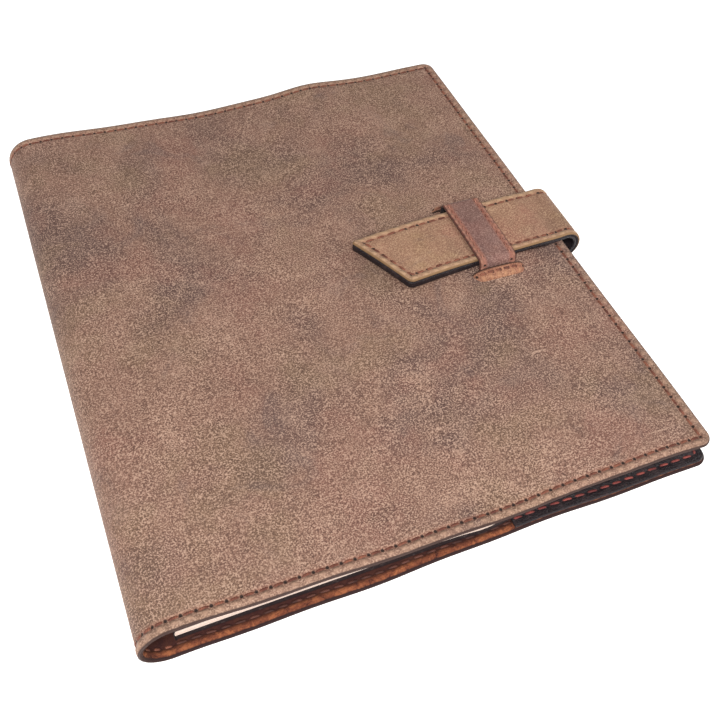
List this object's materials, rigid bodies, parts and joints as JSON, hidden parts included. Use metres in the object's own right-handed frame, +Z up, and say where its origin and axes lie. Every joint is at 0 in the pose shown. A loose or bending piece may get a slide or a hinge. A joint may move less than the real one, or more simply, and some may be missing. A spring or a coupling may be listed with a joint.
{
  "type": "leather notebook cover",
  "caption": "Refillable leather book cover with stitched pockets, holding a notebook, closed by a strap that wraps the fore-edge into a sewn keeper.",
  "frame": {"origin": "middle of the back cover's flat outer face, which it lies on when shut", "axes": "+Z up out of the shut cover, +X from the spine bend to the fore-edge, +Y along the height of the book towards its top edge"},
  "size_m": [0.2272, 0.256, 0.0233],
  "materials": {
    "hide": "distressed waxed pull-up leather, matt and grainy",
    "lining": "smooth dark lining leather, slightly glossy",
    "strap_hide": "lighter tan pull-up leather with worn edges",
    "keeper_hide": "darker red-brown leather",
    "thread": "rust brown waxed thread",
    "paper": "uncoated off-white paper edges",
    "card": "dark pressed notebook card"
  },
  "bodies": {
    "back": {"back_panel": "hide", "back_pocket": "lining", "back_edge_thread": "thread", "back_pocket_thread": "thread", "strap_root": "strap_hide", "notebook_back_card": "card", "notebook_leaves": "paper", "notebook_binding": "card"},
    "spine_1": {"spine_strip_1": "hide", "spine_thread_1": "thread"},
    "spine_2": {"spine_strip_2": "hide", "spine_thread_2": "thread"},
    "spine_3": {"spine_strip_3": "hide", "spine_thread_3": "thread"},
    "front": {"front_panel": "hide", "front_pocket": "lining", "front_edge_thread": "thread", "front_pocket_thread": "thread", "keeper_band": "keeper_hide", "keeper_thread": "thread", "keeper_tack_near": "thread", "keeper_tack_far": "thread"},
    "front_card": {"notebook_front_card": "card"},
    "strap_1": {"strap_link_1_lining": "lining", "strap_link_1_outer": "strap_hide"},
    "strap_2": {"strap_link_2_lining": "lining", "strap_link_2_outer": "strap_hide"},
    "strap_3": {"strap_link_3_lining": "lining", "strap_link_3_outer": "strap_hide"},
    "tongue": {"strap_tongue_lining": "lining", "strap_tongue_outer": "strap_hide", "strap_tongue_thread": "thread"}
  },
  "joints": [
    {"name": "cover_fold_1", "type": "hinge", "parent": "back", "child": "spine_1", "pos_m": [-0.10719, 0, 0.00078], "axis": [0, -1, 0], "range_deg": [0, 45]},
    {"name": "cover_fold_2", "type": "hinge", "parent": "spine_1", "child": "spine_2", "pos_m": [-0.11347, 0, 0.00706], "axis": [0, -1, 0], "range_deg": [0, 45]},
    {"name": "cover_fold_3", "type": "hinge", "parent": "spine_2", "child": "spine_3", "pos_m": [-0.11347, 0, 0.01594], "axis": [0, -1, 0], "range_deg": [0, 45]},
    {"name": "cover_fold_4", "type": "hinge", "parent": "spine_3", "child": "front", "pos_m": [-0.10719, 0, 0.02222], "axis": [0, -1, 0], "range_deg": [0, 45]},
    {"name": "card_slide", "type": "slide", "parent": "front", "child": "front_card", "axis": [-1, 0, 0], "range_m": [0, 0.0316], "deforming": ["notebook_front_card"]},
    {"name": "strap_fold_1", "type": "hinge", "parent": "back", "child": "strap_1", "pos_m": [0.1071, 0.001, 0.00414], "axis": [0, 1, 0], "range_deg": [0, 45], "deforming": ["strap_link_1_lining", "strap_link_1_outer", "strap_link_2_lining", "strap_link_2_outer", "strap_link_3_lining", "strap_link_3_outer", "strap_tongue_lining", "strap_tongue_outer", "strap_tongue_thread", "strap_root"]},
    {"name": "strap_fold_2", "type": "hinge", "parent": "strap_1", "child": "strap_2", "pos_m": [0.11071, 0.001, 0.00775], "axis": [0, 1, 0], "range_deg": [0, 45]},
    {"name": "strap_fold_3", "type": "hinge", "parent": "strap_2", "child": "strap_3", "pos_m": [0.11071, 0.001, 0.01285], "axis": [0, 1, 0], "range_deg": [0, 45]},
    {"name": "strap_fold_4", "type": "hinge", "parent": "strap_3", "child": "tongue", "pos_m": [0.1071, 0.001, 0.01646], "axis": [0, 1, 0], "range_deg": [0, 45]}
  ],
  "couplings": [
    {"joint": "cover_fold_2", "follows": "cover_fold_1", "ratio": 1},
    {"joint": "cover_fold_3", "follows": "cover_fold_1", "ratio": 1},
    {"joint": "cover_fold_4", "follows": "cover_fold_1", "ratio": 1},
    {"joint": "card_slide", "follows": "cover_fold_1", "m_per_rad": 0.040194},
    {"joint": "strap_fold_2", "follows": "strap_fold_1", "ratio": 1},
    {"joint": "strap_fold_3", "follows": "strap_fold_1", "ratio": 1},
    {"joint": "strap_fold_4", "follows": "strap_fold_1", "ratio": 1}
  ]
}
